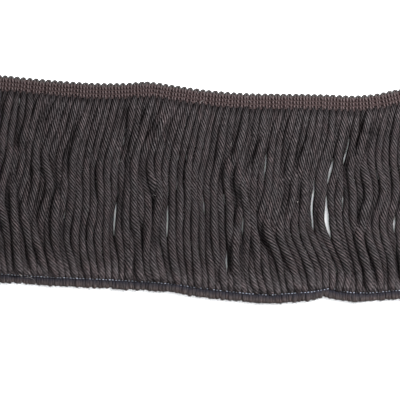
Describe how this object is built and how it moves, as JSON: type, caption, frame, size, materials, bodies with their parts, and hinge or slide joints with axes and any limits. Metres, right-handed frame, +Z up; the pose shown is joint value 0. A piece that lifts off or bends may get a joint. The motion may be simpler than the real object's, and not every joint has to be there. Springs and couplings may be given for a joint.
{
  "type": "tassel fringe trim",
  "caption": "A cut length of twisted cord fringe under a knitted heading tape with a picot edge, lying flat, its looped ends held in line by a retaining stitch.",
  "frame": {"origin": "centre of the footprint of the trim, on the surface that it lies on", "axes": "+X along the trim, to the right as its face is seen; +Y towards the heading, away from the looped ends; +Z up, out of its face"},
  "size_m": [0.2204, 0.1116, 0.0033],
  "materials": {
    "charcoal_cord": "matte twisted cotton yarn",
    "brown_tape": "matte crochet knit",
    "pale_thread": "smooth sewing thread"
  },
  "bodies": {
    "root": {"heading_tape": "brown_tape", "picot_edging": "charcoal_cord", "fringe": "charcoal_cord", "retaining_stitch": "pale_thread"}
  },
  "joints": []
}
